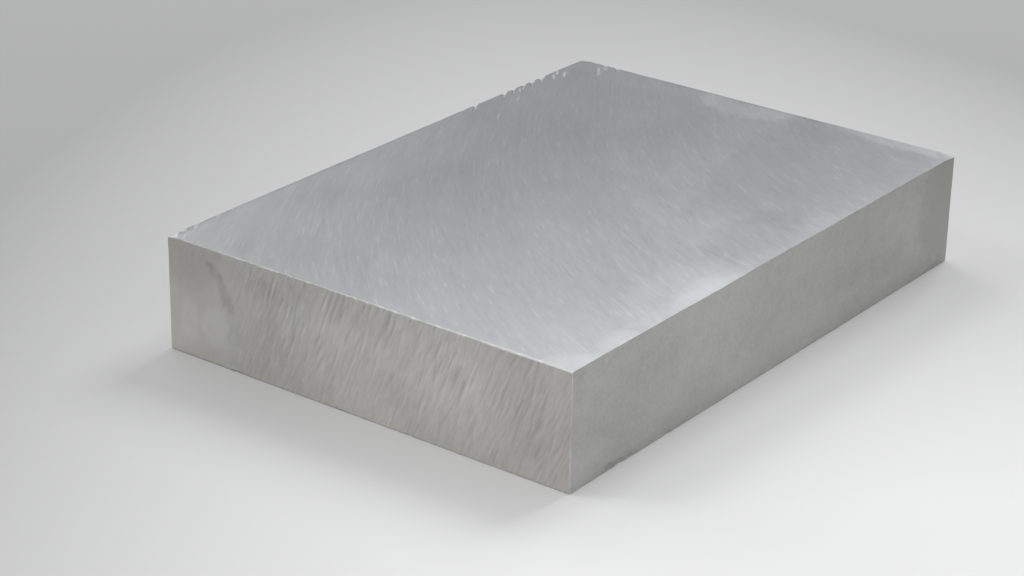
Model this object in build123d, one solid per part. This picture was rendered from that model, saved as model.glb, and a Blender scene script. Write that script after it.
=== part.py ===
from build123d import *
import math
import os

# Aluminium offcut: one heavy block sawn from bar, in millimetres.
# It lies on its underside. The origin is the middle of the underside,
# X runs along the long sides, Y along the short ends and Z is up.
# The near end is at -X, the front side at -Y, and the back corner at +X +Y.

# The block
LENGTH = 198.5
WIDTH = 140.5
THICKNESS = 35.0

# Arrises, broken with a few strokes of a file
TOP_BREAK = 0.45
UPRIGHT_BREAK = 0.35
UNDER_BREAK = 0.40

# Two top corners were knocked, and each has a small sloping flat
NEAR_KNOCK_ALONG_SIDE = 6.5
NEAR_KNOCK_ALONG_END = 3.6
NEAR_KNOCK_DROP = 0.65
RIGHT_KNOCK_ALONG_SIDE = 6.8
RIGHT_KNOCK_ALONG_END = 6.0
RIGHT_KNOCK_DROP = 0.60

# The way the saw's teeth crossed the back arris, in degrees from X
TOOTH_EXIT_ANGLE = 34.0

# Bites that the leaving teeth tore out of the back arris
BITE_COUNT = 8
BITE_PITCH = 5.05
FIRST_BITE_FROM_CORNER = 22.8
BITE_DEPTH = 1.10
LAST_BITE_DEPTH = 0.35
BITE_REACH = 6.5

# Bites that they tore out of the far end's arris, beside the back corner
END_BITE_COUNT = 2
END_BITE_PITCH = 4.5
FIRST_END_BITE_FROM_CORNER = 9.7
END_BITE_DEPTH = 0.50
END_BITE_REACH = 4.5

# How far each bite's tool runs on through the arris, into the open
BITE_PAST_EDGE = 2.0

# Two pits in the near end, measured from its left upright arris and from the top
PIT_FROM_SIDE = 15.5
PIT_FROM_TOP = 5.2
PIT_WIDTH = 3.0
PIT_DEPTH = 0.40
SMALL_PIT_FROM_SIDE = 19.6
SMALL_PIT_FROM_TOP = 7.6
SMALL_PIT_WIDTH = 2.0
SMALL_PIT_DEPTH = 0.25

HALF_LENGTH = LENGTH / 2
HALF_WIDTH = WIDTH / 2


def sawn_blank():
    """The plain block with all twelve arrises broken."""
    block = Solid.make_box(LENGTH, WIDTH, THICKNESS, Plane((-HALF_LENGTH, -HALF_WIDTH, 0)))
    block = block.chamfer(UPRIGHT_BREAK, None, block.edges().filter_by(Axis.Z))
    block = block.chamfer(TOP_BREAK, None, block.edges().group_by(Axis.Z)[-1])
    return block.chamfer(UNDER_BREAK, None, block.edges().group_by(Axis.Z)[0])


def knock_down(block, x_sign, y_sign, along_side, along_end, drop):
    """The block with one top corner taken down to a sloping flat."""
    corner = Vector(x_sign * HALF_LENGTH, y_sign * HALF_WIDTH, THICKNESS)
    on_side = corner - Vector(x_sign * along_side, 0, 0)
    on_end = corner - Vector(0, y_sign * along_end, 0)
    below = corner - Vector(0, 0, drop)
    slope = (on_side - below).cross(on_end - below)
    if slope.Z < 0:
        slope = slope * -1
    return block.split(Plane(origin=below, z_dir=slope), keep=Keep.BOTTOM)


def bite(exit_point, depth, reach):
    """A tear that starts as a point on the top face and widens until it opens the arris."""
    angle = math.radians(TOOTH_EXIT_ANGLE)
    along = Vector(math.cos(angle), math.sin(angle), 0)
    start = exit_point - along * reach
    length = reach + BITE_PAST_EDGE
    return Solid.make_cone(0, depth * length / reach, length, Plane(origin=start, z_dir=along))


def back_side_bites():
    """The row of bites in the back arris, shallower with each step from the back corner."""
    bites = []
    for number in range(BITE_COUNT):
        x = HALF_LENGTH - FIRST_BITE_FROM_CORNER - number * BITE_PITCH
        depth = BITE_DEPTH - (BITE_DEPTH - LAST_BITE_DEPTH) * number / BITE_COUNT
        bites.append(bite(Vector(x, HALF_WIDTH, THICKNESS), depth, BITE_REACH))
    return bites


def far_end_bites():
    """The few bites in the far end's arris."""
    bites = []
    for number in range(END_BITE_COUNT):
        y = HALF_WIDTH - FIRST_END_BITE_FROM_CORNER - number * END_BITE_PITCH
        bites.append(bite(Vector(HALF_LENGTH, y, THICKNESS), END_BITE_DEPTH, END_BITE_REACH))
    return bites


def pit(from_side, from_top, width, depth):
    """The ball that presses one round pit of that width and depth into the near end."""
    ball_radius = ((width / 2) ** 2 + depth**2) / (2 * depth)
    centre_x = -HALF_LENGTH + depth - ball_radius
    centre = Vector(centre_x, HALF_WIDTH - from_side, THICKNESS - from_top)
    return Solid.make_sphere(ball_radius, Plane(origin=centre, z_dir=(-1, 0, 0)))


def near_end_pits():
    """Both pits of the near end."""
    large = pit(PIT_FROM_SIDE, PIT_FROM_TOP, PIT_WIDTH, PIT_DEPTH)
    small = pit(SMALL_PIT_FROM_SIDE, SMALL_PIT_FROM_TOP, SMALL_PIT_WIDTH, SMALL_PIT_DEPTH)
    return [large, small]


def offcut_block():
    """The finished block: sawn, filed, knocked, torn and pitted."""
    block = sawn_blank()
    block = knock_down(
        block, -1, 1, NEAR_KNOCK_ALONG_SIDE, NEAR_KNOCK_ALONG_END, NEAR_KNOCK_DROP
    )
    block = knock_down(
        block, 1, -1, RIGHT_KNOCK_ALONG_SIDE, RIGHT_KNOCK_ALONG_END, RIGHT_KNOCK_DROP
    )
    for damage in back_side_bites() + far_end_bites() + near_end_pits():
        block = block - damage
    return block


os.makedirs("parts", exist_ok=True)
export_step(offcut_block(), "parts/offcut_block.step")
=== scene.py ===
# %% [markdown]
# # A sawn aluminium offcut
# The real object is one heavy block, left over when thick aluminium was sawn up. Nothing in the
# photograph gives its size, so it is taken as about 200 mm long. The CAD frame already has it at
# that size, with its broken arrises, knocked corners, torn bites and pits. What is missing is
# everything a saw and a workshop leave on bare metal, so this lesson builds a finer skin of the
# same block, finishes each kind of face, and lights it softly.

# %% Load the frame
import math

import bpy
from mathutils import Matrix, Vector, noise


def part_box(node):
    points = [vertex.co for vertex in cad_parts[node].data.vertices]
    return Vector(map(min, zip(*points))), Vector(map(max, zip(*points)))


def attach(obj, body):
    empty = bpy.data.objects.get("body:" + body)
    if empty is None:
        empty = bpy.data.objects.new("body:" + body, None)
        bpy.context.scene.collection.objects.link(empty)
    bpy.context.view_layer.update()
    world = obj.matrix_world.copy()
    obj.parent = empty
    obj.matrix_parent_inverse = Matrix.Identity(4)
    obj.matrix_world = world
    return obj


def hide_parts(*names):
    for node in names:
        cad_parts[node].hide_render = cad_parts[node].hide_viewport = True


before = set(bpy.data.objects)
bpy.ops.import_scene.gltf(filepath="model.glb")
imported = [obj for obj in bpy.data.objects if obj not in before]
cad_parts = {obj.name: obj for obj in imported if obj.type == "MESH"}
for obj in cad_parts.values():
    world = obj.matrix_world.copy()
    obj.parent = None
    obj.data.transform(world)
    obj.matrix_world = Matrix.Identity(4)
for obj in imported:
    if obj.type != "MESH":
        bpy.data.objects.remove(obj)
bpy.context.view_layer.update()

BLOCK = "offcut_block"
low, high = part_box(BLOCK)
print("the block runs from", tuple(low), "to", tuple(high), "in metres")

# %% [markdown]
# ## The sizes to work in
# Saw marks and broken arrises are fractions of a millimetre, so the skin is worked out in
# millimetres and only turned into metres when its mesh is made. The sizes come from the frame,
# never from a copied number, so the skin always fits the solid that it covers.

# %% Measure the block
MM = 0.001
half_length = (high.x - low.x) / 2 / MM
half_width = (high.y - low.y) / 2 / MM
thickness = (high.z - low.z) / MM
print(f"half length {half_length:.2f}, half width {half_width:.2f}, thickness {thickness:.2f} mm")

# %% [markdown]
# ## The camera
# A photograph of a plain box is enough to find where the camera stood: its seven visible corners
# fix the direction, the distance and the lens. It stood well back with a long lens, so the long
# edges close in only a little, and it was tipped by about one degree.

# %% Place the camera
CAMERA_AZIMUTH = math.radians(-53.20)
CAMERA_ELEVATION = math.radians(23.71)
CAMERA_ROLL = math.radians(1.08)
CAMERA_DISTANCE = 0.7902
AIM_RIGHT = -0.01912
AIM_UP = -0.01168
LENS = 94.0
SENSOR_WIDTH = 36


def camera_axes(azimuth, elevation, roll):
    """The camera's right, up and backward directions."""
    back = Vector(
        (
            math.sin(azimuth) * math.cos(elevation),
            -math.cos(azimuth) * math.cos(elevation),
            math.sin(elevation),
        )
    )
    level_right = Vector((0, 0, 1)).cross(back).normalized()
    level_up = back.cross(level_right)
    right = level_right * math.cos(roll) + level_up * math.sin(roll)
    up = back.cross(right)
    return right, up, back


def place_camera():
    """A camera that sees the block as the photograph does."""
    right, up, back = camera_axes(CAMERA_AZIMUTH, CAMERA_ELEVATION, CAMERA_ROLL)
    middle = (low + high) / 2
    data = bpy.data.cameras.new("camera")
    data.lens = LENS
    data.sensor_width = SENSOR_WIDTH
    data.clip_start = 0.01
    camera = bpy.data.objects.new("camera", data)
    bpy.context.collection.objects.link(camera)
    place = middle + back * CAMERA_DISTANCE + right * AIM_RIGHT + up * AIM_UP
    for column, axis in enumerate((right, up, back)):
        for row in range(3):
            camera.matrix_world[row][column] = axis[row]
    camera.location = place
    return camera


camera = place_camera()
bpy.context.scene.camera = camera
print("the camera stands at", tuple(round(v, 3) for v in camera.location))

# %% [markdown]
# ## How a saw writes on metal
# A circular saw drags each tooth round the blade's centre, so every mark on the top is a piece of
# one large circle, and the next mark is the same circle moved along by the feed. One number is
# then the same all along a mark: how far along the feed its circle stands. Everything on the top,
# both the real relief and the finish, is drawn with that number, so that it all follows the same
# arcs. The photograph shows too little of their bend to measure the circle well, so its radius
# here is a choice.

# %% Follow the blade
BLADE_RADIUS = 300.0
ARBOR_BELOW_FRONT = 133.0
arbor_y = -half_width - ARBOR_BELOW_FRONT


def blade_feed(x, y):
    """How far along the feed the blade stood when it touched this point."""
    return x + math.sqrt(BLADE_RADIUS**2 - (y - arbor_y) ** 2)


lean = blade_feed(0, -half_width) - blade_feed(0, half_width)
print(f"one saw mark leans by {lean:.1f} mm over the width")

# %% [markdown]
# ## Marks as stretched noise
# Saw marks are random but not shapeless: narrow across, long along. Noise that is squeezed across
# the mark and drawn out along it gives just that, and adding a coarse and a fine layer keeps it
# from looking combed. The noise is Blender's own, and gives the same marks on each run.


# %% Draw one layer of marks
def marks(across, along, pitch, reach, layer):
    """One layer of marks, about -1 to 1: pitch apart and reach long, in millimetres."""
    return noise.noise(Vector((across / pitch, along / reach, layer * 7.31)))


# %% [markdown]
# ## The ends were cut differently
# The near end shows coarser ripples that lean by about 68 degrees, as a blade that wanders leaves
# them. They are straight over so short a face, so one slanted number is enough to follow them. The
# far end is hidden and gets the same cut, and the two long sides are the smoother skin of the
# stock.

# %% Depth of the cuts
RIPPLE_LEAN = math.radians(68)
TOP_RELIEF = 0.02
END_RELIEF = 0.085
SIDE_RELIEF = 0.03
CHATTER_REACH = 120.0
CREASE_FROM = 0.16
CREASE_FULL = 0.45
SMOOTH_CORNER = 20.0
RIPPLE_GROWS_OVER = 26.0
RIPPLE_FULL_HEIGHT = 20.0
LIP_FROM_CREASE = 0.6


def chatter(x, y):
    """From 0 to 1, how much the blade shook: most near the front corner, where it entered."""
    away = math.hypot(x + half_length, y + half_width)
    return max(0.0, 1 - away / CHATTER_REACH)


def saw_depth(x, y):
    """How deep the blade cut the top here, about 0 to 1."""
    shake = chatter(x, y)
    feed = blade_feed(x, y) + (0.3 + 1.2 * shake) * marks(x, y, 8, 8, 9)
    wave = 0.30 * marks(feed, y, 6.0, 25, 1)
    mark = (0.35 + 0.60 * shake) * marks(feed, y, 2.1, 9, 2)
    fine = 0.30 * marks(feed, y, 1.1, 5, 3)
    return min(1.0, max(0.0, 0.5 + wave + mark + fine))


def ripple_across(y, z):
    """A number that stays the same along one leaning ripple of an end."""
    return y * math.sin(RIPPLE_LEAN) + z * math.cos(RIPPLE_LEAN)


def ripple_strength(distance, z):
    """From 0 to 1, how strong the ripples are. They fade towards one corner and the underside."""
    from_corner = min(1.0, max(0.0, (distance - SMOOTH_CORNER) / RIPPLE_GROWS_OVER))
    from_below = 0.45 + 0.55 * min(1.0, max(0.0, z / RIPPLE_FULL_HEIGHT))
    return from_corner * from_below * (0.75 + 0.5 * marks(distance, z, 24, 12, 7))


def crease_at(across, along):
    """From 0 to 1, how deep the nearest narrow crease is: only the peaks of the noise count."""
    peak = marks(across, along, 0.95, 8, 4)
    return min(1.0, max(0.0, (peak - CREASE_FROM) / (CREASE_FULL - CREASE_FROM)))


def ripple_depth(y, z, strength):
    """How deep a sawn end is, about 0 to 1: narrow creases, each with a raised lip beside it."""
    across = ripple_across(y, z) + 0.35 * marks(y, z, 14, 10, 8)
    along = z * math.sin(RIPPLE_LEAN) - y * math.cos(RIPPLE_LEAN)
    crease = crease_at(across, along)
    lip = crease_at(across + LIP_FROM_CREASE, along)
    broad = marks(across, along, 2.6, 13, 3)
    fine = marks(across, along, 0.9, 5, 5)
    cut = 0.55 * crease - 0.35 * lip - 0.25 * broad + 0.20 * fine
    return min(1.0, max(0.0, 0.4 + strength * cut))


def skin_depth(x, z):
    """How deep the smoother side of the stock is here, about 0 to 1."""
    return min(1.0, max(0.0, 0.5 + 0.7 * marks(x, z, 5.0, 3.5, 6)))


print(f"relief: top {TOP_RELIEF}, ends {END_RELIEF}, sides {SIDE_RELIEF} mm at most")

# %% [markdown]
# ## The top rolls off towards its arrises
# A saw leaves the last few millimetres of its cut a little lower. The fall is only a fraction of a
# millimetre, but metal doubles every tilt in what it mirrors, so along the front these places show
# the bright upper part of the room and glow a little. The rest of that glow is painted, with the
# stains. Each fall is a soft hump along one side. The sides are numbered as one walks round the
# block: the front is 0, then the far end, the back and the near end.

# %% Roll of the arrises
ROLL_REACH = 13.0
ROLLS = (
    # side, middle along that side, half length, reach inwards, drop at the arris
    (0, 0.0, 26.0, 13.0, 0.11),
    (0, 34.0, 14.0, 13.0, 0.10),
    (0, 65.0, 14.0, 12.0, 0.20),
    (0, 123.5, 8.0, 8.0, 0.08),
    (0, 145.0, 6.0, 6.0, 0.06),
    (0, 184.0, 12.0, 4.0, 0.06),
    (1, 8.0, 26.0, 3.0, 0.05),
    (1, 70.0, 30.0, 2.0, 0.10),
    (2, 192.0, 16.0, 3.0, 0.22),
    (2, 130.0, 40.0, 2.0, 0.10),
)


def rolled_height(x, y):
    """The height of the top's plain surface, which falls off towards its arrises."""
    inwards = (y + half_width, half_length - x, half_width - y, x + half_length)
    along = (x + half_length, y + half_width, half_length - x, half_width - y)
    drop = 0.0
    for side, middle, half_long, reach, depth in ROLLS:
        if inwards[side] < reach:
            share = math.exp(-(((along[side] - middle) / half_long) ** 2))
            drop += depth * share * (1 - inwards[side] / reach) ** 2
    return thickness - drop


print("the front arris is lowest at", round(rolled_height(-31, -half_width), 2), "mm")

# %% [markdown]
# ## Knocks, bites and pits
# The solid has this damage already, so the skin repeats it in the same places. A knocked corner is
# a sloping plane, a bite is half a cone that widens towards the arris, and a pit is the cap of a
# ball. Each is written as the height that the metal is left at, and the lowest one wins. The skin
# also has the back corner's small knock, which is too slight for the solid. The solid's bites are
# a regular row, but the real ones are not alike and two have almost vanished, so each has a size
# of its own here, as a share of the solid's.

# %% Knocked corners
KNOCKS = (
    # corner signs in X and Y, along the side, along the end, drop at the corner
    (-1, 1, 6.5, 3.6, 0.65),
    (1, -1, 6.8, 6.0, 0.60),
    (1, 1, 4.5, 4.5, 0.45),
)


def knocked_height(x, y):
    """The height that the knocked corners leave."""
    lowest = thickness
    for x_sign, y_sign, along_side, along_end, drop in KNOCKS:
        from_end = half_length - x_sign * x
        from_side = half_width - y_sign * y
        share = 1 - from_end / along_side - from_side / along_end
        lowest = min(lowest, thickness - drop * share)
    return lowest


# %% Torn bites
TOOTH_EXIT = math.radians(34)
BACK_BITE_SIZES = (0.80, 0.70, 1.00, 0.60, 1.00, 0.20, 0.20, 2.20)
BACK_BITE_COUNT = len(BACK_BITE_SIZES)
BACK_BITE_PITCH = 5.05
FIRST_BACK_BITE = 22.8
DEEPEST_BITE = 1.10
SHALLOWEST_BITE = 0.35
BACK_BITE_REACH = 6.5
END_BITE_COUNT = 2
END_BITE_PITCH = 4.5
FIRST_END_BITE = 9.7
END_BITE_DEPTH = 0.50
END_BITE_REACH = 4.5


def list_bites():
    """Each bite as where it leaves the face, its depth there and its reach."""
    bites = []
    for number in range(BACK_BITE_COUNT):
        x = half_length - FIRST_BACK_BITE - number * BACK_BITE_PITCH
        depth = DEEPEST_BITE - (DEEPEST_BITE - SHALLOWEST_BITE) * number / BACK_BITE_COUNT
        bites.append((x, half_width, depth * BACK_BITE_SIZES[number], BACK_BITE_REACH))
    for number in range(END_BITE_COUNT):
        y = half_width - FIRST_END_BITE - number * END_BITE_PITCH
        bites.append((half_length, y, END_BITE_DEPTH, END_BITE_REACH))
    return bites


bites = list_bites()


def bitten_height(x, y):
    """The height that the bites leave."""
    lowest = thickness
    for exit_x, exit_y, depth, reach in bites:
        away_x, away_y = x - exit_x, y - exit_y
        along = reach + away_x * math.cos(TOOTH_EXIT) + away_y * math.sin(TOOTH_EXIT)
        across = away_y * math.cos(TOOTH_EXIT) - away_x * math.sin(TOOTH_EXIT)
        ragged = 0.95 + 0.5 * noise.noise(Vector((x / 1.3, y / 1.3, exit_x)))
        uneven = 1 + 0.6 * noise.noise(Vector((exit_x / 3.1, exit_y / 3.1, 2.5)))
        radius = depth * along / reach * ragged * uneven
        if radius > abs(across):
            lowest = min(lowest, thickness - math.sqrt(radius**2 - across**2))
    return lowest


deepest_bite = max(depth for _, _, depth, _ in bites)
print(len(bites), "bites, the deepest", round(deepest_bite, 2), "mm before it is made ragged")

# %% Pits in the near end
PITS = (
    # from the left upright arris, from the top, width and depth
    (15.5, 5.2, 3.0, 0.40),
    (19.6, 7.6, 2.0, 0.25),
)
PIT_DARKNESS = 2.2
PIT_FULL = 0.15


def pit_depth(y, z):
    """How far the pits go into the near end."""
    deepest = 0.0
    for from_side, from_top, width, depth in PITS:
        away = math.hypot(half_width - from_side - y, thickness - from_top - z)
        ball = ((width / 2) ** 2 + depth**2) / (2 * depth)
        if away < width / 2:
            deepest = max(deepest, depth - ball + math.sqrt(ball**2 - away**2))
    return deepest


print(len(PITS), "pits")

# %% Chips beside the back and the left corners
CHIPS = (
    # x, y, half length along the tooth's way, half width, depth
    (78.3, 66.8, 2.4, 0.55, 0.12),
    (82.2, 68.3, 2.4, 0.55, 0.10),
    (82.6, 65.6, 3.2, 0.50, 0.12),
    (92.3, 58.7, 4.2, 0.55, 0.11),
    (96.6, 59.0, 2.6, 0.90, 0.18),
    (97.3, 54.6, 2.4, 0.50, 0.11),
    (60.5, 67.4, 2.2, 0.45, 0.08),
    (53.6, 62.9, 3.0, 0.40, 0.05),
    (36.9, 57.8, 3.0, 0.40, 0.05),
    (-93.9, 69.0, 1.6, 0.70, 0.09),
    (-89.5, 68.8, 3.2, 0.60, 0.06),
    (-79.6, 69.3, 2.8, 0.55, 0.05),
    (-73.6, 69.4, 2.2, 0.50, 0.05),
    (-97.4, 65.6, 2.0, 0.45, 0.04),
)


def chip_depth(x, y):
    """How far the chips go into the top."""
    deepest = 0.0
    for chip_x, chip_y, half_long, half_wide, depth in CHIPS:
        away_x, away_y = x - chip_x, y - chip_y
        along = away_x * math.cos(TOOTH_EXIT) + away_y * math.sin(TOOTH_EXIT)
        across = away_y * math.cos(TOOTH_EXIT) - away_x * math.sin(TOOTH_EXIT)
        ragged = 0.9 * noise.noise(Vector((x / 0.8, y / 0.8, chip_x)))
        share = 1 + ragged - (along / half_long) ** 2 - (across / half_wide) ** 2
        deepest = max(deepest, depth * share)
    return deepest


print(len(CHIPS), "chips")

# %% Dents low on the front side
DENTS = (
    # distance from the front corner, height, half length, half height, depth
    (17.5, 1.5, 1.6, 0.7, 0.25),
    (22.1, 1.2, 2.2, 0.8, 0.35),
    (27.3, 1.3, 2.0, 0.6, 0.25),
    (44.5, 1.1, 1.5, 0.6, 0.20),
    (3.4, 9.0, 1.8, 0.5, 0.15),
    (57.4, 7.8, 0.9, 0.9, 0.15),
    (40.9, 5.3, 0.6, 0.6, 0.12),
    (22.3, 19.9, 0.5, 0.8, 0.10),
)


def dent_depth(distance, z):
    """How far the dents go into the front side."""
    deepest = 0.0
    for dent_at, height, half_long, half_high, depth in DENTS:
        share = 1 - ((distance - dent_at) / half_long) ** 2 - ((z - height) / half_high) ** 2
        deepest = max(deepest, depth * share)
    return deepest


print(len(DENTS), "dents")

# %% [markdown]
# ## Stains, scratches and painted light
# Coolant, handling and rubbing left small pale and dark places, which the relief alone doesn't
# show. The broad places beside them are painted light and shade: the glow along the front of the
# top, a brighter back and far end of the top, a darker right part of its front, a paler middle and
# a darker front part of the near end, and on the front side a lighter bottom and a darker far end.
# All are painted on the vertices as one number, dark below nought and pale above it. That is
# simpler than a node for each place, and it is part of the mesh, so it stays where it belongs.

# %% Stains and painted light
# stains of the metal, and broad painted light and shade
STAINS_AND_PAINTED_LIGHT = (
    # face, place along and across, half length, half width, turn in degrees, shade, crispness
    ("top", 99.0, 2.0, 13.5, 18.0, 10, 1.50, 3),
    # painted light and shade: a brighter back and far end, a pale band along the far end's front
    ("top", 100.0, 38.0, 16.0, 34.0, 0, 0.75, 1),
    ("top", 101.0, -62.0, 8.5, 44.0, 0, 2.20, 1),
    # painted shade: the knock at the right corner darker
    ("top", 98.5, -69.5, 5.5, 5.0, 0, -1.40, 2),
    # painted light: the back brighter
    ("top", 85.0, 46.0, 50.0, 38.0, 0, 0.70, 1),
    ("top", -8.0, 60.0, 40.0, 16.0, 0, 0.45, 1),
    # painted highlight: the glow along the front of the top
    ("top", -42.0, -62.0, 26.0, 13.0, 6, 0.85, 1),
    ("top", -58.0, -71.0, 46.0, 7.0, 0, 0.70, 1),
    ("top", -34.0, -71.0, 22.0, 10.0, 0, 1.20, 1),
    ("top", -74.0, -71.0, 6.0, 10.0, 0, 0.90, 1),
    ("top", -96.0, -71.0, 9.0, 11.0, 0, 1.00, 1),
    # painted shade: darker in the middle of the front
    ("top", 8.0, -57.0, 24.0, 12.0, 0, -0.90, 1),
    # darker towards the back of the near end
    ("top", -94.0, 30.0, 22.0, 46.0, 0, -0.40, 1),
    # painted highlight: more glow by the front's near corner
    ("top", -88.0, -62.0, 32.0, 20.0, 10, 0.55, 1),
    # painted shade: the right part of the front darker
    ("top", 78.0, -44.0, 75.0, 32.0, 0, -1.25, 1),
    # small streaks and spots
    ("top", 2.0, -24.0, 15.0, 5.0, 48, 0.35, 1),
    ("top", 29.0, 3.0, 14.0, 5.0, 40, 0.30, 1),
    ("top", -44.0, 60.0, 16.0, 8.0, 20, -0.30, 1),
    ("top", -92.0, 48.0, 6.0, 4.0, 40, -0.35, 1),
    ("top", -14.0, -55.0, 5.0, 8.0, 0, -0.40, 1),
    # painted light and shade: a paler middle and a darker part by the front corner
    ("near end", 82.0, 18.0, 44.0, 26.0, 0, 0.65, 1),
    ("near end", 138.0, 8.0, 28.0, 26.0, 0, -0.90, 1),
    # darker and paler spots, smears and patches
    ("near end", 5.0, 5.0, 16.0, 11.0, 0, -1.00, 1),
    ("near end", 21.6, 13.0, 6.0, 2.1, 60, -1.40, 2),
    ("near end", 17.6, 6.4, 4.0, 2.0, 27, -0.80, 1),
    ("near end", 17.5, 22.5, 5.6, 6.2, 0, 0.85, 2),
    ("near end", 7.6, 23.5, 4.0, 7.0, 0, 0.60, 2),
    ("near end", 29.0, 31.5, 9.0, 3.5, 0, -0.45, 1),
    ("near end", 35.0, 8.0, 5.0, 5.0, 0, -0.35, 1),
    ("near end", 94.0, 18.0, 9.0, 7.0, 0, 0.50, 1),
    ("near end", 72.0, 32.0, 14.0, 8.0, 0, 0.60, 1),
    ("near end", 16.0, 33.0, 20.0, 8.0, 0, 0.60, 1),
    ("near end", 60.0, 2.0, 64.0, 9.0, 0, -0.45, 1),
    ("front side", 12.0, 26.0, 45.0, 20.0, 0, -0.60, 1),
    ("front side", 3.5, 29.0, 2.5, 6.0, 0, -0.35, 1),
    # darker in the dents
    ("front side", 17.5, 1.2, 2.0, 0.9, 0, -1.10, 2),
    ("front side", 22.2, 1.0, 2.4, 0.9, 0, -1.20, 2),
    ("front side", 27.4, 1.0, 1.8, 0.8, 0, -1.10, 2),
    ("front side", 44.5, 0.9, 1.6, 0.8, 0, -0.90, 2),
    ("front side", 3.4, 9.0, 2.0, 0.6, 0, -0.60, 2),
    ("front side", 57.4, 7.8, 1.1, 1.1, 0, -0.60, 2),
    ("front side", 22.0, 1.5, 14.0, 1.4, 0, -0.30, 1),
    ("front side", 30.0, 3.6, 14.0, 1.2, 2, 0.35, 1),
    # painted light and shade: a lighter bottom and a darker far end
    ("front side", 115.0, 2.0, 62.0, 12.0, 0, 0.75, 1),
    ("front side", 190.0, 17.0, 110.0, 60.0, 0, -0.50, 1),
    ("front side", 200.0, 20.0, 24.0, 26.0, 0, -1.25, 1),
    # painted light: lighter low down by the front corner
    ("front side", 5.0, 6.0, 16.0, 8.0, 0, 0.70, 1),
)
SCRATCHES = (
    # x and y of both ends, half width, shade
    (-16.2, -69.5, -10.5, -48.0, 0.55, -1.1),
    (-14.2, -69.5, -11.5, -58.0, 0.60, 1.1),
    (-24.0, -41.5, -17.5, -28.5, 0.50, 1.2),
    (-46.0, -62.0, -41.5, -51.0, 0.50, 1.1),
    (-62.0, -63.0, -56.5, -52.5, 0.50, 1.1),
    (-87.0, -66.0, -80.5, -51.5, 0.50, 1.0),
    (7.5, -31.0, 13.5, -18.5, 0.55, 0.9),
    (33.0, -38.0, 37.5, -29.5, 0.50, 0.8),
)


def stain_and_painted_light(face, along, across):
    """The shade that stains and painted light and shade leave here: dark below nought, pale above
    it.
    """
    shade = 0.0
    ragged = 1 + 0.35 * noise.noise(Vector((along / 3.5, across / 3.5, 4.2)))
    for marked_face, middle_along, middle_across, half_long, half_wide, turn, strength, crisp in STAINS_AND_PAINTED_LIGHT:
        if marked_face != face:
            continue
        away_along, away_across = along - middle_along, across - middle_across
        lean = math.radians(turn)
        u = (away_along * math.cos(lean) + away_across * math.sin(lean)) / half_long
        v = (away_across * math.cos(lean) - away_along * math.sin(lean)) / half_wide
        share = min(1.0, crisp * max(0.0, 1 - (u * u + v * v) * ragged))
        shade += strength * share * (2 - share)
    return shade


def scratch(x, y):
    """The shade that the scratches of the top leave here."""
    shade = 0.0
    for x1, y1, x2, y2, half_wide, strength in SCRATCHES:
        long = math.hypot(x2 - x1, y2 - y1)
        along = ((x - x1) * (x2 - x1) + (y - y1) * (y2 - y1)) / long
        across = ((x - x1) * (y2 - y1) - (y - y1) * (x2 - x1)) / long
        if 0 < along < long and abs(across) < half_wide:
            shade += strength * (1 - abs(across) / half_wide)
    return shade


print(len(STAINS_AND_PAINTED_LIGHT), "stains and", len(SCRATCHES), "scratches")

# %% [markdown]
# ## Broken arrises
# The arrises were broken by hand with a file, so each one is a narrow flat whose width wanders.
# The front one hardly saw the file. A bevel modifier would make them all alike, so their width is
# noise along the edge instead, and small nicks widen it here and there.

# %% How wide an arris is
TOP_BREAK = 0.45
UPRIGHT_BREAK = 0.30
UNDER_BREAK = 0.40
TOP_BREAKS = (0.05, 0.40, 0.45, 0.56)
FRONT_CORNER = 3
FILED_BELOW = 14.0
FILED_OVER = 3.0
UNFILED_SHARE = 0.35
FILED_SHARE = 0.95


def arris_width(width, distance, edge):
    """The width of a broken arris at a distance along it. Each edge has a number of its own."""
    wander = 0.35 * noise.noise(Vector((distance / 9.0, edge * 3.7, 0.5)))
    nick = max(0.0, noise.noise(Vector((distance / 1.7, edge * 5.3, 8.5))) - 0.35)
    return width * (0.8 + wander + 1.1 * nick)


def upright_width(corner, z):
    """The width of an upright arris at a height. The front one was only filed low down."""
    width = arris_width(UPRIGHT_BREAK, z, 4 + corner)
    if corner == FRONT_CORNER:
        filed = min(1.0, max(0.0, (FILED_BELOW - z) / FILED_OVER))
        width *= UNFILED_SHARE + FILED_SHARE * filed
    return width


widths = [round(arris_width(TOP_BREAK, distance, 0), 2) for distance in range(0, 30, 6)]
print("a top arris is", widths, "mm wide")

# %% Larger nicks
NICKS = (
    # side, at the top or not, distance along the side, half length, extra width
    (0, False, 17.5, 1.5, 0.35),
    (0, False, 22.0, 2.2, 0.50),
    (0, False, 27.5, 1.8, 0.30),
    (0, False, 44.5, 1.2, 0.35),
    (2, True, 193.5, 1.6, 0.40),
    (2, True, 186.0, 1.8, 0.30),
    (2, True, 176.5, 2.4, 0.25),
    (3, True, 38.0, 3.0, 0.25),
    (3, True, 52.0, 1.6, 0.25),
    (3, True, 88.0, 2.4, 0.20),
    (3, False, 87.5, 1.0, 0.45),
    (3, False, 26.0, 2.5, 0.35),
)


def nick_width(side, distance, upper):
    """How much the larger nicks widen an arris here."""
    extra = 0.0
    for nicked, at_top, middle, half_long, width in NICKS:
        if nicked == side and at_top == upper:
            extra += width * max(0.0, 1 - ((distance - middle) / half_long) ** 2)
    return extra


print(len(NICKS), "larger nicks")

# %% [markdown]
# ## Building the skin from rows
# A plain grid would cut across the arcs and turn them into stairs. Here every row has its own
# stations, which are the multiples of a small step in the feed number, so the vertices of one row
# lie on the same saw marks as those of the next. Two neighbouring rows are then stitched like two
# strips of cloth, always moving on along the one that lags behind.

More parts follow.
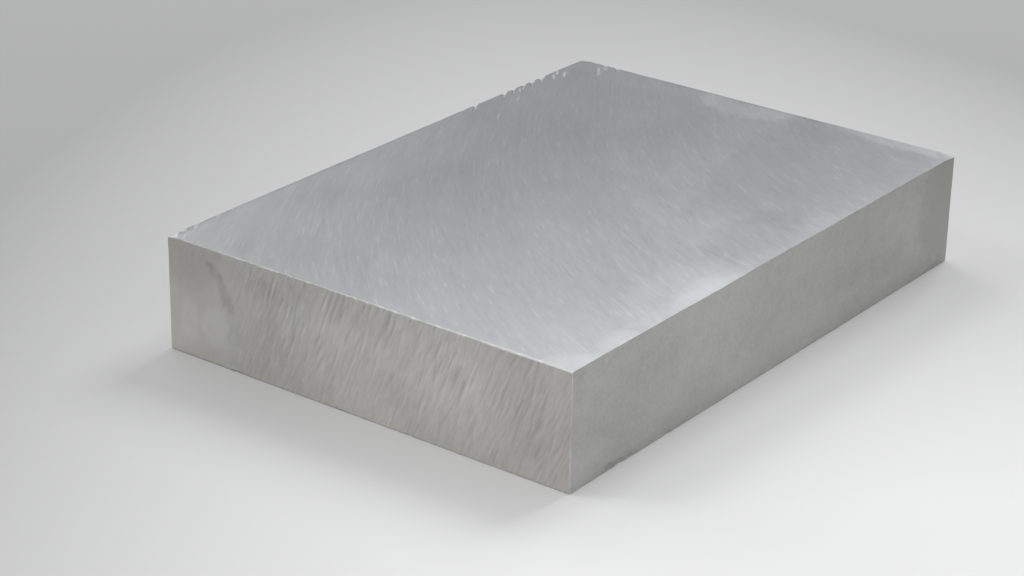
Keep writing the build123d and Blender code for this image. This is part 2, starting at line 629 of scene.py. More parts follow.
# %% Rows and stitches
PAINTS = ("depth", "stain_and_painted_light", "fresh")
UNPAINTED = (0.5, 0.0, 0.0)
STATION_MARGIN = 0.3
vertices = []
paint = []
faces = []
finishes = []


def add_vertex(x, y, z, painted=UNPAINTED):
    """Adds a vertex in mm, with its depth, stains and painted light, and fresh metal. Gives its
    number.
    """
    vertices.append(Vector((x, y, z)))
    paint.append(painted)
    return len(vertices) - 1


def stations(first, last, step):
    """The multiples of a step between two values, with both ends."""
    inner = range(math.floor(first / step) + 1, math.ceil(last / step))
    margin = step * STATION_MARGIN
    between = [n * step for n in inner if first + margin < n * step < last - margin]
    return [first, *between, last]


def stitch(lower, upper, finish):
    """Fills the strip between two rows of (vertex, station) with triangles."""
    i = j = 0
    while i < len(lower) - 1 or j < len(upper) - 1:
        on_lower = j == len(upper) - 1
        if i < len(lower) - 1 and not on_lower:
            on_lower = lower[i + 1][1] <= upper[j + 1][1]
        if on_lower:
            faces.append((lower[i][0], lower[i + 1][0], upper[j][0]))
            i += 1
        else:
            faces.append((lower[i][0], upper[j + 1][0], upper[j][0]))
            j += 1
        finishes.append(finish)


print("stations from 0.2 to 2.9 by 0.5:", stations(0.2, 2.9, 0.5))

# %% [markdown]
# ## Going round the block
# The block's outline has four sides, and going round it turns every place on an upright face into
# a side, a distance along it and a height. The front is side 0, then come the far end, the back
# and the near end. That one way of naming places lets the same few lines make all four faces.

# %% Places on the outline
SIDES = range(4)
OUTWARD = (Vector((0, -1, 0)), Vector((1, 0, 0)), Vector((0, 1, 0)), Vector((-1, 0, 0)))
HIDDEN_FACE = 300.0


def side_length(side):
    """How long one side of the outline is."""
    return 2 * (half_width if side % 2 else half_length)


def on_side(side, distance, inset):
    """The place at a distance along one side, moved in from the outline by an inset."""
    if side == 0:
        return distance - half_length, inset - half_width
    if side == 1:
        return half_length - inset, distance - half_width
    if side == 2:
        return half_length - distance, half_width - inset
    return inset - half_length, half_width - distance


def side_surface(side, distance, z):
    """How far an upright face lies inside the outline here, and its paint."""
    x, y = on_side(side, distance, 0)
    if side == 3:
        depth = ripple_depth(y, z, ripple_strength(distance, z))
        pitted = pit_depth(y, z)
        # The pits are painted darker the deeper they go.
        pit_darkening = PIT_DARKNESS * min(1.0, pitted / PIT_FULL)
        # the stain layer here also holds painted light and shade
        shade = stain_and_painted_light("near end", distance, thickness - z) - pit_darkening
        return END_RELIEF * depth + pitted, (depth, shade, 0.0)
    if side == 1:
        depth = ripple_depth(y + HIDDEN_FACE, z, ripple_strength(distance, z))
        return END_RELIEF * depth, (depth, 0.0, 0.0)
    depth = skin_depth(x + side * HIDDEN_FACE, z)
    if side == 0:
        # the stain layer here also holds painted light and shade
        shade = stain_and_painted_light("front side", distance, z)
        return SIDE_RELIEF * depth + dent_depth(distance, z), (depth, shade, 0.0)
    return SIDE_RELIEF * depth, (depth, 0.0, 0.0)


def edge_width(side, distance, upper):
    """The width of the top's or the underside's broken arris along one side."""
    extra = nick_width(side, distance, upper)
    if upper:
        return arris_width(TOP_BREAKS[side], distance, side) + extra
    return arris_width(UNDER_BREAK, distance, side + 8) + extra


print("the outline is", sum(side_length(side) for side in SIDES), "mm round")

# %% [markdown]
# ## The top and the underside
# Both are cuts of the same saw. Their rows run along the block and are 2 mm apart, which is enough
# along a mark, and the stations on each row are four times closer, because that is across the
# marks. Near the back arris the rows close up, so that the bites come out round. Wherever the
# metal was torn below the saw's cut it is painted fresh. The knock at the right corner gets only a
# little of that: it is kept darker, as painted shade.

# %% Heights of the flat faces
TOP_STEP = 0.5
TORN_STEP = 0.25
TORN_FROM = half_width - 6
UNDER_STEP = 1.5
FRESH_DEPTH = 0.08
RIGHT_KNOCK_FRESH = 0.15
FINISH_TOP, FINISH_END, FINISH_SIDE, FINISH_ARRIS = range(4)


def top_surface(x, y):
    """The height and paint of the top: the saw's relief, unless a knock or a bite went lower."""
    depth = saw_depth(x, y)
    sawn = rolled_height(x, y) - TOP_RELIEF * depth
    chipped = sawn - chip_depth(x, y)
    height = min(chipped, knocked_height(x, y), bitten_height(x, y))
    # The right corner's knock is painted darker than fresh metal: painted shade.
    near_right_corner = x > 0 > y
    bright = RIGHT_KNOCK_FRESH if near_right_corner else 1.0
    fresh = bright * min(1.0, max(0.0, sawn - height) / FRESH_DEPTH)
    # the stain layer here also holds painted light and shade, such as the glow along the front
    return height, (depth, stain_and_painted_light("top", x, y) + scratch(x, y), fresh)


def under_surface(x, y):
    """The height and the paint of the underside: the same relief, upwards, with other marks."""
    depth = saw_depth(x + HIDDEN_FACE / 10, y)
    return TOP_RELIEF * depth, (depth, 0.0, 0.0)


def row_levels(*parts):
    """Y of each row, from parts of (start, end, step)."""
    levels = []
    for start, end, step in parts:
        count = round((end - start) / step)
        levels += [start + (end - start) * n / count for n in range(count)]
    return levels


def face_rows(levels, plain_step, surface, upper):
    """The rows of one flat face, whose first and last follow the wandering arrises."""
    rows = []
    for number, level in enumerate(levels):
        step = TORN_STEP if upper and level > TORN_FROM else plain_step
        start = edge_width(3, half_width - level, upper) - half_length
        end = half_length - edge_width(1, level + half_width, upper)
        row = []
        for feed in stations(blade_feed(start, level), blade_feed(end, level), step):
            x, y = feed - blade_feed(0, level), level
            if number == 0:
                y = edge_width(0, x + half_length, upper) - half_width
            if number == len(levels) - 1:
                y = half_width - edge_width(2, half_length - x, upper)
            height, painted = surface(x, y)
            row.append((add_vertex(x, y, height, painted), feed))
        rows.append(row)
    return rows


# %% Lay the rows
FINE_ROWS_WITHIN = 17
FINEST_ROWS_WITHIN = 5
front_row = TOP_BREAK - half_width
back_row = half_width - TOP_BREAK
top_levels = row_levels(
    (front_row, front_row + 1, 1),
    (front_row + 1, front_row + ROLL_REACH, 1.2),
    (front_row + ROLL_REACH, half_width - FINE_ROWS_WITHIN, 2.0),
    (half_width - FINE_ROWS_WITHIN, half_width - FINEST_ROWS_WITHIN, 0.8),
    (half_width - FINEST_ROWS_WITHIN, half_width - 1, 0.4),
) + [half_width - 1, back_row]
under_levels = row_levels((front_row, front_row + 1, 1), (front_row + 1, back_row - 1, 5))
under_levels += [back_row - 1, back_row]
top_rows = face_rows(top_levels, TOP_STEP, top_surface, True)
under_rows = face_rows(under_levels, UNDER_STEP, under_surface, False)
for rows in (top_rows, under_rows):
    for lower, upper in zip(rows, rows[1:]):
        stitch(lower, upper, FINISH_TOP)
print(len(top_rows), "rows on top,", len(under_rows), "below,", len(faces), "triangles so far")

# %% [markdown]
# ## The four upright faces
# Rings of vertices run round the block at many levels. Each ring is four faces and four corners,
# and a corner has one vertex on the broken upright arris. On the two ends the stations are shifted
# with the height, so that they follow the leaning ripples, as the rows on top follow the arcs. A
# ring's height comes from the arrises below and above it, so the rings dip under a bite or a
# knocked corner.

# %% One ring
SIDE_STEP = 1.0
BITE_STEP = 0.4
END_STEP = 0.5
BULGE = 0.12
ROOM_UNDER_KNOCK = 0.1
ROOM_UNDER_BITE = 0.02
bite_start = FIRST_BACK_BITE - 5
bite_end = FIRST_BACK_BITE + BACK_BITE_COUNT * BACK_BITE_PITCH


def face_top(side, distance):
    """The height at which an upright face ends under the top arris."""
    x, y = on_side(side, distance, 0)
    plain = rolled_height(x, y) - edge_width(side, distance, True)
    under_knock = knocked_height(x, y) - ROOM_UNDER_KNOCK
    under_bite = bitten_height(x, y) - ROOM_UNDER_BITE
    return min(plain, under_knock, under_bite)


def face_stations(side, z, first, last):
    """Distances of one face's vertices, each with the number that it is stitched by."""
    if side % 2:
        shift = (z if side == 3 else -z) / math.tan(RIPPLE_LEAN)
        return [(s + shift, s) for s in stations(first - shift, last - shift, END_STEP)]
    if side == 0:
        return [(s, s) for s in stations(first, last, SIDE_STEP)]
    before = stations(first, bite_start, SIDE_STEP)[:-1]
    beside = stations(bite_start, bite_end, BITE_STEP)[:-1]
    return [(s, s) for s in before + beside + stations(bite_end, last, SIDE_STEP)]


def ring(level):
    """One ring, as four faces of (vertex, number, distance) and four corners of vertices."""
    z_guess = UNDER_BREAK + level * (thickness - TOP_BREAK - UNDER_BREAK)
    cuts = [upright_width(corner, z_guess) for corner in SIDES]
    ring_faces = []
    for side in SIDES:
        last = side_length(side) - cuts[side]
        part = []
        for distance, number in face_stations(side, z_guess, cuts[side - 1], last):
            below = edge_width(side, distance, False)
            z = below + level * (face_top(side, distance) - below)
            inset, painted = side_surface(side, distance, z)
            x, y = on_side(side, distance, inset)
            part.append((add_vertex(x, y, z, painted), number, distance))
        ring_faces.append(part)
    corners = []
    for side in SIDES:
        one, other = ring_faces[side][-1][0], ring_faces[(side + 1) % 4][0][0]
        out = (OUTWARD[side] + OUTWARD[(side + 1) % 4]) * cuts[side] * BULGE
        middle = (vertices[one] + vertices[other]) / 2 + out
        corners.append([(one, 0), (add_vertex(*middle), 1), (other, 2)])
    return ring_faces, corners


# %% Stack the rings
TOP_RING = 34.1
ring_levels = ((0, 3, 0.6), (3, 26, 1.6), (26, 31.6, 0.7), (31.6, TOP_RING, 0.85))
ring_heights = row_levels(*ring_levels) + [TOP_RING]
rings = [ring(height / ring_heights[-1]) for height in ring_heights]
side_finish = (FINISH_SIDE, FINISH_END, FINISH_SIDE, FINISH_END)
for (lower_faces, lower_corners), (upper_faces, upper_corners) in zip(rings, rings[1:]):
    for side in SIDES:
        lower = [(vertex, number) for vertex, number, _ in lower_faces[side]]
        upper = [(vertex, number) for vertex, number, _ in upper_faces[side]]
        stitch(lower, upper, side_finish[side])
        stitch(lower_corners[side], upper_corners[side], FINISH_ARRIS)
print(len(rings), "rings,", len(faces), "triangles so far")

# %% [markdown]
# ## Closing the skin along its arrises
# Between the last ring and the first row of the top lies the broken arris. A line of crest
# vertices runs along its middle, pushed out a little, because a file rounds what it cuts. Where a
# bite or a knocked corner is lower, the crest drops into it. The front's arris was never filed, so
# it stays flat and keeps the side's finish. The underside is closed in the same way.

# %% Crest lines
SOFT_SIDE = 0


def border(rows):
    """The outline of a flat face as four sides of (vertex, distance)."""
    front = [(v, vertices[v].x + half_length) for v, _ in rows[0]]
    far = [(row[-1][0], vertices[row[-1][0]].y + half_width) for row in rows]
    back = [(v, half_length - vertices[v].x) for v, _ in reversed(rows[-1])]
    near = [(row[0][0], half_width - vertices[row[0][0]].y) for row in reversed(rows)]
    return front, far, back, near


def crest_point(side, distance, vertex, upper):
    """A point half way up the arris from one of the ring's vertices."""
    width = edge_width(side, distance, upper)
    x, y = on_side(side, distance, width)
    height, painted = top_surface(x, y) if upper else under_surface(x, y)
    inner = Vector((x, y, height))
    way_out = OUTWARD[side] + Vector((0, 0, 1 if upper else -1))
    bulge = 0.0 if upper and side == SOFT_SIDE else BULGE
    point = (vertices[vertex] + inner) / 2 + way_out * width * bulge
    if upper:
        point.z = min(point.z, knocked_height(point.x, point.y), bitten_height(point.x, point.y))
    return point, painted


def close_arris(ring_parts, rows, upper):
    """Fills the strip between a ring and a flat face, by way of a crest line."""
    ring_faces, ring_corners = ring_parts
    outline = border(rows)
    crests = []
    for side in SIDES:
        crest = []
        for vertex, _, distance in ring_faces[side]:
            point, painted = crest_point(side, distance, vertex, upper)
            crest.append((add_vertex(*point, painted), distance))
        crests.append(crest)
        foot = [(vertex, distance) for vertex, _, distance in ring_faces[side]]
        finish = FINISH_SIDE if upper and side == SOFT_SIDE else FINISH_ARRIS
        stitch(foot, crest, finish)
        stitch(crest, outline[side], finish)
    for side in SIDES:
        one, other = crests[side][-1][0], crests[(side + 1) % 4][0][0]
        corner = outline[side][-1][0]
        tip = (vertices[ring_corners[side][1][0]] + vertices[corner]) / 2
        arc = [(one, 0), (add_vertex(*tip), 1), (other, 2)]
        stitch(ring_corners[side], arc, FINISH_ARRIS)
        stitch(arc, [(corner, 1)], FINISH_ARRIS)


close_arris(rings[-1], top_rows, True)
close_arris(rings[0], under_rows, False)
print(len(vertices), "vertices and", len(faces), "triangles in all")

# %% [markdown]
# ## From lists to a mesh
# The lists become one mesh, and the paint becomes its attributes. BMesh turns all the triangles
# the same way out, and says whether every edge has exactly two of them, which is what makes a skin
# closed. Shading is smooth across a saw mark and breaks at every steep edge and wherever one
# finish meets another. An angle alone isn't enough: where an arris is almost flat, the tilt of its
# narrow strip would be smeared into the face beside it, and a lamp would show there as a white
# fleck.

# %% Make the block's skin
import bmesh

SHARP_ANGLE = math.radians(26)
NO_AREA = 1e-13


def make_skin(name):
    """One closed mesh object, with a sharp edge wherever it is steep or its finish changes."""
    mesh = bpy.data.meshes.new(name)
    mesh.from_pydata([vertex * MM for vertex in vertices], [], faces)
    mesh.polygons.foreach_set("material_index", finishes)
    for number, kind in enumerate(PAINTS):
        layer = mesh.attributes.new(kind, "FLOAT", "POINT")
        layer.data.foreach_set("value", [painted[number] for painted in paint])
    work = bmesh.new()
    work.from_mesh(mesh)
    bmesh.ops.recalc_face_normals(work, faces=work.faces)
    loose = sum(1 for edge in work.edges if len(edge.link_faces) != 2)
    flat = sum(1 for face in work.faces if face.calc_area() < NO_AREA)
    for edge in work.edges:
        one, other = edge.link_faces
        same_finish = one.material_index == other.material_index
        edge.smooth = same_finish and edge.calc_face_angle(0.0) < SHARP_ANGLE
    work.to_mesh(mesh)
    work.free()
    mesh.shade_smooth()
    piece = bpy.data.objects.new(name, mesh)
    bpy.context.collection.objects.link(piece)
    print(name, "has", loose, "open edges and", flat, "flat triangles")
    return piece


sawn_block = make_skin("sawn_block")
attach(sawn_block, "root")
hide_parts(BLOCK)

# %% [markdown]
# ## Finishes made of nodes
# All the finishes are bare aluminium, so they share the same metal and differ in how the tool left
# it. Each one reads the place on the surface in millimetres, squeezes it across the marks, and
# feeds it to noise. The painted depth comes in as well, so that the colour follows the real
# relief. A few small helpers keep those node trees short to read.

# %% Helpers for node trees
ALUMINIUM_METALLIC = 1.0


def feed_socket(tree, value, socket):
    """Links a result to a socket, or sets the socket to a plain value."""
    if isinstance(value, bpy.types.NodeSocket):
        tree.links.new(value, socket)
    else:
        socket.default_value = value


def calculate(tree, operation, first, second=0.0, third=0.0):
    """The result of one math node."""
    node = tree.nodes.new("ShaderNodeMath")
    node.operation = operation
    for value, socket in zip((first, second, third), node.inputs):
        feed_socket(tree, value, socket)
    return node.outputs[0]


def weigh(tree, *parts):
    """The sum of some values, each times its weight."""
    total = 0.0
    for value, weight in parts:
        total = calculate(tree, "MULTIPLY_ADD", value, weight, total)
    return total


def place_in_millimetres(tree):
    """X, Y and Z of the surface, in millimetres."""
    place = tree.nodes.new("ShaderNodeTexCoord")
    larger = tree.nodes.new("ShaderNodeVectorMath")
    larger.operation = "SCALE"
    larger.inputs["Scale"].default_value = 1 / MM
    tree.links.new(place.outputs["Object"], larger.inputs[0])
    parts = tree.nodes.new("ShaderNodeSeparateXYZ")
    tree.links.new(larger.outputs[0], parts.inputs[0])
    return parts.outputs


def painted(tree, kind):
    """What was painted on the vertices: their depth, stains and painted light, or fresh metal."""
    node = tree.nodes.new("ShaderNodeAttribute")
    node.attribute_name = kind
    return node.outputs["Fac"]


def join(tree, x, y, z):
    """Three values as one vector."""
    node = tree.nodes.new("ShaderNodeCombineXYZ")
    for value, socket in zip((x, y, z), node.inputs):
        feed_socket(tree, value, socket)
    return node.outputs[0]


def mark_layer(tree, across, along, pitch, reach, layer, detail=2.0):
    """Noise from 0 to 1, pitch wide across the marks and reach long, in millimetres."""
    squeezed_across = calculate(tree, "DIVIDE", across, pitch)
    squeezed_along = calculate(tree, "DIVIDE", along, reach)
    layer_noise = tree.nodes.new("ShaderNodeTexNoise")
    layer_noise.inputs["Scale"].default_value = 1.0
    layer_noise.inputs["Detail"].default_value = detail
    squeezed = join(tree, squeezed_across, squeezed_along, layer * 7.31)
    tree.links.new(squeezed, layer_noise.inputs["Vector"])
    return layer_noise.outputs["Fac"]


def rescale(tree, value, low_in, high_in, low_out, high_out):
    """Spreads a value over another range, without going past its ends."""
    node = tree.nodes.new("ShaderNodeMapRange")
    for number, socket in zip((value, low_in, high_in, low_out, high_out), node.inputs):
        feed_socket(tree, number, socket)
    return node.outputs[0]


def blend_colours(tree, share, first, second):
    """A mix of two colours."""
    node = tree.nodes.new("ShaderNodeMix")
    node.data_type = "RGBA"
    feed_socket(tree, share, node.inputs["Factor"])
    feed_socket(tree, first, node.inputs[6])
    feed_socket(tree, second, node.inputs[7])
    return node.outputs[2]


def relief_normal(tree, height, depth):
    """A bump whose height is a number from 0 to 1 and whose depth is in millimetres."""
    node = tree.nodes.new("ShaderNodeBump")
    node.inputs["Strength"].default_value = 1.0
    node.inputs["Distance"].default_value = depth * MM
    tree.links.new(height, node.inputs["Height"])
    return node.outputs["Normal"]


def new_finish(name):
    """An empty metal finish: its material, its tree and its shader."""
    material = bpy.data.materials.new(name)
    material.use_nodes = True
    tree = material.node_tree
    shader = tree.nodes["Principled BSDF"]
    shader.inputs["Metallic"].default_value = ALUMINIUM_METALLIC
    return material, tree, shader


print("helpers ready")

# %% [markdown]
# ## The sawn top
# The top is a cool grey that fine light and dark streaks cross along the arcs. The streaks come
# and go, because a tooth only bites deep here and there, so slow noise is laid under the fine one.
# Thousands of parallel scratches smear a reflection sideways, across themselves. The shader does
# this when it is anisotropic and its tangent points across the marks, and it is part of why the top
# grows brighter towards the front, where the arcs have turned to face a window behind the block.
# The rest of that glow is painted highlight, in the stains and painted light, and the light grey
# is pale enough to hold it.

# %% Finish of the top
TOP_DARK = (0.46, 0.468, 0.48, 1)
TOP_LIGHT = (0.807, 0.819, 0.835, 1)
FRESH_METAL = (0.61, 0.615, 0.62, 1)
TOP_BRUSHED = 0.7
TOP_STAIN_AND_LIGHT = 0.22
TOP_SHADES = (-0.185, 1.015)


def sawn_top_finish():
    """Arcs of fine streaks on cool grey metal."""
    material, tree, shader = new_finish("sawn_top")
    x, y, _ = place_in_millimetres(tree)
    rise = calculate(tree, "SUBTRACT", y, arbor_y)
    square = calculate(tree, "MULTIPLY", rise, rise)
    run = calculate(tree, "SQRT", calculate(tree, "SUBTRACT", BLADE_RADIUS**2, square))
    feed = calculate(tree, "ADD", x, run)
    fine = mark_layer(tree, feed, y, 0.8, 4.5, 11, detail=3)
    broad = mark_layer(tree, feed, y, 9, 30, 12)
    smudge = mark_layer(tree, x, y, 38, 30, 13)
    strokes = mark_layer(tree, feed, y, 1.0, 5, 14, detail=1)
    pale_strokes = rescale(tree, strokes, 0.60, 0.74, 0.0, 1.0)
    dark_strokes = rescale(tree, strokes, 0.40, 0.26, 0.0, 1.0)
    parts = [(fine, 0.14), (broad, 0.18), (smudge, 0.22), (painted(tree, "depth"), -0.11)]
    parts += [(pale_strokes, 0.21), (dark_strokes, -0.11)]
    # the stain layer also holds painted light and shade: the glow and broad lighter and darker
    # places
    shade = weigh(tree, *parts, (painted(tree, "stain_and_painted_light"), TOP_STAIN_AND_LIGHT))
    share = rescale(tree, shade, *TOP_SHADES, 0.0, 1.0)
    grey = blend_colours(tree, share, TOP_DARK, TOP_LIGHT)
    colour = blend_colours(tree, painted(tree, "fresh"), grey, FRESH_METAL)
    feed_socket(tree, colour, shader.inputs["Base Color"])
    rough = rescale(tree, fine, 0.3, 0.7, 0.40, 0.44)
    torn_rough = weigh(tree, (rough, 1.0), (painted(tree, "fresh"), 0.2))
    feed_socket(tree, torn_rough, shader.inputs["Roughness"])
    feed_socket(tree, relief_normal(tree, fine, 0.003), shader.inputs["Normal"])
    across = join(tree, run, calculate(tree, "MULTIPLY", rise, -1.0), 0.0)
    feed_socket(tree, across, shader.inputs["Tangent"])
    shader.inputs["Anisotropic"].default_value = TOP_BRUSHED
    return material


# %% [markdown]
# ## The sawn ends
# The ends are a warmer grey, greenish here and pinkish there, and rougher, with short leaning
# ripples and a fine hatching of the same lean. The deep part of a ripple is painted darker and its
# crests and lips paler, as painted shade and highlight of the ripples, so the painted depth counts
# most here.

# %% Finish of the ends
END_DARK = (0.435, 0.427, 0.409, 1)
END_LIGHT_PINK = (0.745, 0.724, 0.706, 1)
END_LIGHT_GREEN = (0.732, 0.736, 0.691, 1)
END_STAIN_AND_LIGHT = 0.13
END_SHADES = (-0.375, 0.305)
HATCH_FADES_OVER = 8
CORNER_HATCH = 0.35


def sawn_end_finish():
    """Short leaning ripples on warm grey metal."""
    material, tree, shader = new_finish("sawn_end")
    _, y, z = place_in_millimetres(tree)
    across = weigh(tree, (y, math.sin(RIPPLE_LEAN)), (z, math.cos(RIPPLE_LEAN)))
    along = weigh(tree, (z, math.sin(RIPPLE_LEAN)), (y, -math.cos(RIPPLE_LEAN)))
    ripple = mark_layer(tree, across, along, 1.1, 6, 21, detail=3)
    hatch = mark_layer(tree, across, along, 0.45, 3.5, 24, detail=2)
    smooth_from = half_width - SMOOTH_CORNER
    hatched = rescale(tree, y, smooth_from - HATCH_FADES_OVER, smooth_from, 1.0, CORNER_HATCH)
    smudge = mark_layer(tree, across, along, 22, 16, 22)
    tint = mark_layer(tree, y, z, 26, 30, 23)
    both = weigh(tree, (ripple, 0.30), (hatch, 0.40), (0.35, -1.0))
    cut_shade = calculate(tree, "MULTIPLY", both, hatched)
    # painted shade in the deep part of the ripples, painted highlight on their crests and lips
    parts = [(cut_shade, 1.0), (smudge, 0.20), (painted(tree, "depth"), -0.44)]
    # the stain layer also holds painted light and shade: broad lighter and darker places
    shade = weigh(tree, *parts, (painted(tree, "stain_and_painted_light"), END_STAIN_AND_LIGHT))
    share = rescale(tree, shade, *END_SHADES, 0.0, 1.0)
    green = rescale(tree, tint, 0.38, 0.62, 0.0, 1.0)
    light = blend_colours(tree, green, END_LIGHT_PINK, END_LIGHT_GREEN)
    feed_socket(tree, blend_colours(tree, share, END_DARK, light), shader.inputs["Base Color"])
    feed_socket(tree, rescale(tree, ripple, 0.3, 0.7, 0.46, 0.58), shader.inputs["Roughness"])
    cut = weigh(tree, (ripple, 0.6), (hatch, 0.4))
    feed_socket(tree, relief_normal(tree, cut, 0.045), shader.inputs["Normal"])
    return material


# %% [markdown]
# ## The smooth sides
# The sides keep the skin of the stock: matte, even, with faint marks along their length.

# %% Finish of the sides
SIDE_DARK = (0.415, 0.413, 0.406, 1)
SIDE_LIGHT = (0.595, 0.592, 0.582, 1)
SIDE_STAIN_AND_LIGHT = 0.25
SIDE_SHADES = (0.12, 0.82)


def smooth_side_finish():
    """Matte grey metal with faint marks."""
    material, tree, shader = new_finish("smooth_side")
    x, _, z = place_in_millimetres(tree)
    faint = mark_layer(tree, x, z, 0.9, 1.1, 31, detail=3)
    smudge = mark_layer(tree, x, z, 30, 18, 32)
    parts = [(faint, 0.75), (smudge, 0.35), (painted(tree, "depth"), -0.14)]
    # the stain layer also holds painted light and shade: a lighter bottom and a darker far end
    shade = weigh(tree, *parts, (painted(tree, "stain_and_painted_light"), SIDE_STAIN_AND_LIGHT))
    share = rescale(tree, shade, *SIDE_SHADES, 0.0, 1.0)
    colour = blend_colours(tree, share, SIDE_DARK, SIDE_LIGHT)
    feed_socket(tree, colour, shader.inputs["Base Color"])
    feed_socket(tree, rescale(tree, faint, 0.3, 0.7, 0.44, 0.54), shader.inputs["Roughness"])
    feed_socket(tree, relief_normal(tree, faint, 0.02), shader.inputs["Normal"])
    return material


# %% [markdown]
# ## The filed arrises
# A file leaves brighter metal than a saw, with short scratches of its own. Along the top, the
# arris is painted brighter towards the front, a painted highlight that makes the near end's bright
# line grow towards the front. Lower down it has one even shade.

# %% Finish of the arrises
ARRIS_DARK = (0.35, 0.35, 0.345, 1)
ARRIS_LIGHT = (0.75, 0.75, 0.745, 1)
PAINTED_HIGHLIGHT_FROM = 15.0
PAINTED_HIGHLIGHT_SHADE = 0.8
LOW_SHADE = 0.35
EVEN_SHADE_BELOW = 20.0
TOP_SHADE_ABOVE = 34.0


def filed_arris_finish():
    """Brighter metal with the file's scratches."""
    material, tree, shader = new_finish("filed_arris")
    x, y, z = place_in_millimetres(tree)
    round_block = weigh(tree, (x, 1.0), (y, 1.0), (z, 1.0))
    scratches = mark_layer(tree, round_block, z, 1.5, 1.0, 41, detail=3)
    # painted highlight: the top arris brighter towards the front
    front_highlight = rescale(tree, y, PAINTED_HIGHLIGHT_FROM, -half_width, 0.0, PAINTED_HIGHLIGHT_SHADE)
    height_shade = rescale(tree, z, EVEN_SHADE_BELOW, TOP_SHADE_ABOVE, LOW_SHADE, front_highlight)
    share = weigh(tree, (rescale(tree, scratches, 0.30, 0.70, 0.0, 0.2), 1.0), (height_shade, 1.0))
    colour = blend_colours(tree, share, ARRIS_DARK, ARRIS_LIGHT)
    feed_socket(tree, colour, shader.inputs["Base Color"])
    feed_socket(tree, rescale(tree, scratches, 0.3, 0.7, 0.43, 0.50), shader.inputs["Roughness"])
    feed_socket(tree, relief_normal(tree, scratches, 0.01), shader.inputs["Normal"])
    return material


# %% Dress the block
for finish in (sawn_top_finish(), sawn_end_finish(), smooth_side_finish(), filed_arris_finish()):
    sawn_block.data.materials.append(finish)
print("finishes:", [material.name for material in sawn_block.data.materials])

# %% [markdown]
# ## The floor
# The block stands on a pale, matte floor that runs on past the picture. A pool of light is painted
# on it: the floor is palest in a long patch that starts in front on the right, and fades to a
# darker grey behind and to both sides. That painted light is in the floor's colour: the lamps and
# the room stay plain, so the metal isn't changed by it. The patch is an ellipse, given by its
# middle, its turn and how far it reaches along and across.

# %% Floor
FLOOR_REACH = 6.0
FLOOR_OUTSIDE_LIGHT_POOL = (0.398, 0.399, 0.401, 1)
FLOOR_IN_LIGHT_POOL = (0.896, 0.898, 0.901, 1)
LIGHT_POOL_MIDDLE_X = -785.0
LIGHT_POOL_MIDDLE_Y = -932.0
LIGHT_POOL_TURN = math.radians(48.1)
LIGHT_POOL_ALONG = 1542.0
LIGHT_POOL_ACROSS = 408.0
LIGHT_POOL_WITHIN = 0.705
FLOOR_ROUGHNESS = 0.9


def make_floor():
    """One large matte plane under the block."""
    mesh = bpy.data.meshes.new("floor")
    reach = FLOOR_REACH
    corners = [(-reach, -reach, 0), (reach, -reach, 0), (reach, reach, 0), (-reach, reach, 0)]
    mesh.from_pydata(corners, [], [(0, 1, 2, 3)])
    floor = bpy.data.objects.new("floor", mesh)
    bpy.context.collection.objects.link(floor)
    material = bpy.data.materials.new("pale_floor")
    material.use_nodes = True
    tree = material.node_tree
    shader = tree.nodes["Principled BSDF"]
    x, y, _ = place_in_millimetres(tree)
    away_x = calculate(tree, "SUBTRACT", x, LIGHT_POOL_MIDDLE_X)
    away_y = calculate(tree, "SUBTRACT", y, LIGHT_POOL_MIDDLE_Y)
    along = weigh(tree, (away_x, math.cos(LIGHT_POOL_TURN)), (away_y, math.sin(LIGHT_POOL_TURN)))
    across = weigh(tree, (away_y, math.cos(LIGHT_POOL_TURN)), (away_x, -math.sin(LIGHT_POOL_TURN)))
    long_share = calculate(tree, "DIVIDE", along, LIGHT_POOL_ALONG)
    wide_share = calculate(tree, "DIVIDE", across, LIGHT_POOL_ACROSS)
    long_square = calculate(tree, "MULTIPLY", long_share, long_share)
    both_squares = calculate(tree, "MULTIPLY_ADD", wide_share, wide_share, long_square)
    distance = calculate(tree, "SQRT", both_squares)
    # the painted pool of light: palest inside the ellipse
    share = rescale(tree, distance, LIGHT_POOL_WITHIN, 1.0, 1.0, 0.0)
    colour = blend_colours(tree, share, FLOOR_OUTSIDE_LIGHT_POOL, FLOOR_IN_LIGHT_POOL)
    feed_socket(tree, colour, shader.inputs["Base Color"])
    shader.inputs["Roughness"].default_value = FLOOR_ROUGHNESS
    shader.inputs["Specular IOR Level"].default_value = 0.0
    mesh.materials.append(material)
    return floor


floor = make_floor()
print("the floor is", 2 * FLOOR_REACH, "m wide")

# %% [markdown]
# ## The room
# Metal shows its surroundings more than its own colour, so the room is the second half of the
# finish. A plain bright room would leave the top flat and white. In the photograph the top darkens
# towards the back, so it mirrors a room that is dim low behind the block and bright higher up. The
# world gives that with two gradients of the direction: its height, and how far behind it is.

# %% World
ROOM_BRIGHT = 0.55
ROOM_LOW_FRONT = 1.20
ROOM_LOW_BEHIND = 0.13
DIM_DIRECTION = math.radians(24)
LOW_HEIGHT = math.sin(math.radians(12))
HIGH_HEIGHT = math.sin(math.radians(38))


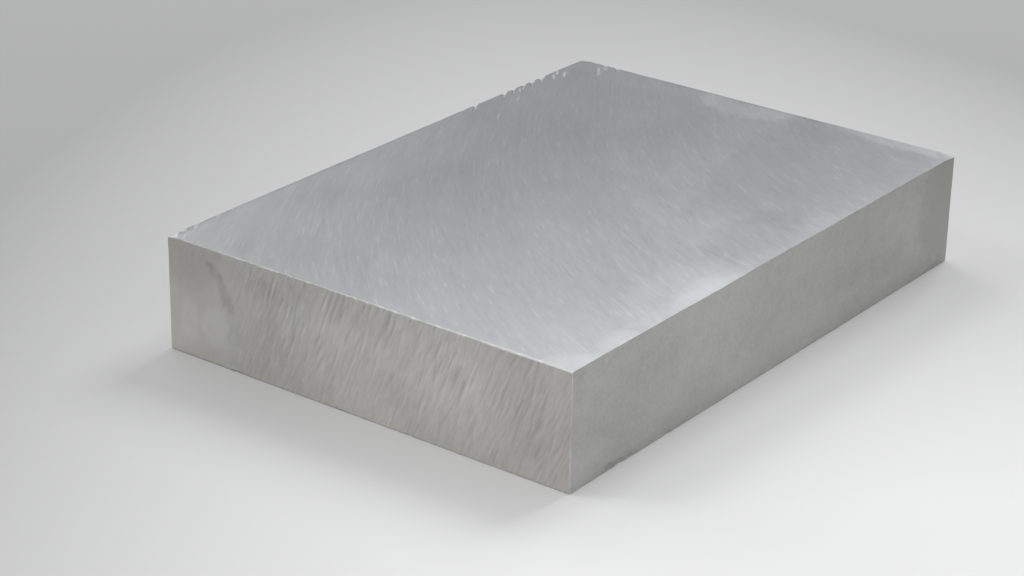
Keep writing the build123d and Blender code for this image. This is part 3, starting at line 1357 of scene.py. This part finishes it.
def make_room():
    """The light that comes from everywhere, by direction."""
    world = bpy.data.worlds.new("room")
    world.use_nodes = True
    tree = world.node_tree
    direction = tree.nodes.new("ShaderNodeTexCoord")
    parts = tree.nodes.new("ShaderNodeSeparateXYZ")
    tree.links.new(direction.outputs["Generated"], parts.inputs[0])
    x, y, height = parts.outputs
    behind = weigh(tree, (x, math.cos(DIM_DIRECTION)), (y, math.sin(DIM_DIRECTION)))
    low_light = rescale(tree, behind, -1.0, 1.0, ROOM_LOW_FRONT, ROOM_LOW_BEHIND)
    rising = tree.nodes.new("ShaderNodeMapRange")
    rising.interpolation_type = "SMOOTHSTEP"
    rise = (height, LOW_HEIGHT, HIGH_HEIGHT, low_light, ROOM_BRIGHT)
    for value, socket in zip(rise, rising.inputs):
        feed_socket(tree, value, socket)
    tree.links.new(rising.outputs[0], tree.nodes["Background"].inputs["Strength"])
    tree.nodes["Background"].inputs["Color"].default_value = (1, 1, 1, 1)
    return world


bpy.context.scene.world = make_room()
bpy.context.scene.view_settings.view_transform = "Standard"
print("the room's strength is", ROOM_BRIGHT, "above and", ROOM_LOW_BEHIND, "low behind")

# %% [markdown]
# ## Four soft lamps
# A wide window stands behind the block on the left, and glows in the front of the top. A smaller
# lamp hangs high on the left. It draws the bright line along the near end's arris and grazes the
# ripples below it. The third hangs high beyond the far end, and throws the soft shadow in front of
# the near end. The fourth hangs high behind, and lights the places along the front where the top
# rolls off. Each lamp is placed by a direction, a height and a distance.

# %% Lamps
def soft_lamp(name, turn, rise, distance, width, height, strength):
    """An area lamp that looks at the block, at a turn from X and a rise, in degrees."""
    way = Vector(
        (
            math.cos(math.radians(turn)) * math.cos(math.radians(rise)),
            math.sin(math.radians(turn)) * math.cos(math.radians(rise)),
            math.sin(math.radians(rise)),
        )
    )
    data = bpy.data.lights.new(name, "AREA")
    data.shape = "RECTANGLE"
    data.size = width
    data.size_y = height
    data.energy = strength * math.pi * width * height
    lamp = bpy.data.objects.new(name, data)
    lamp.location = way * distance
    lamp.rotation_mode = "QUATERNION"
    lamp.rotation_quaternion = (-way).to_track_quat("-Z", "Y")
    bpy.context.collection.objects.link(lamp)
    print(name, "shines at", strength, "with", round(data.energy, 1), "watts")


soft_lamp("window", turn=82, rise=29, distance=1.6, width=1.4, height=0.7, strength=1.5)
soft_lamp("high_left", turn=126, rise=47, distance=1.3, width=0.35, height=0.35, strength=5.0)
soft_lamp("high_beyond", turn=0, rise=50, distance=1.4, width=0.6, height=0.6, strength=5.9)
soft_lamp("high_behind", turn=50, rise=50, distance=1.4, width=0.5, height=0.5, strength=2.05)
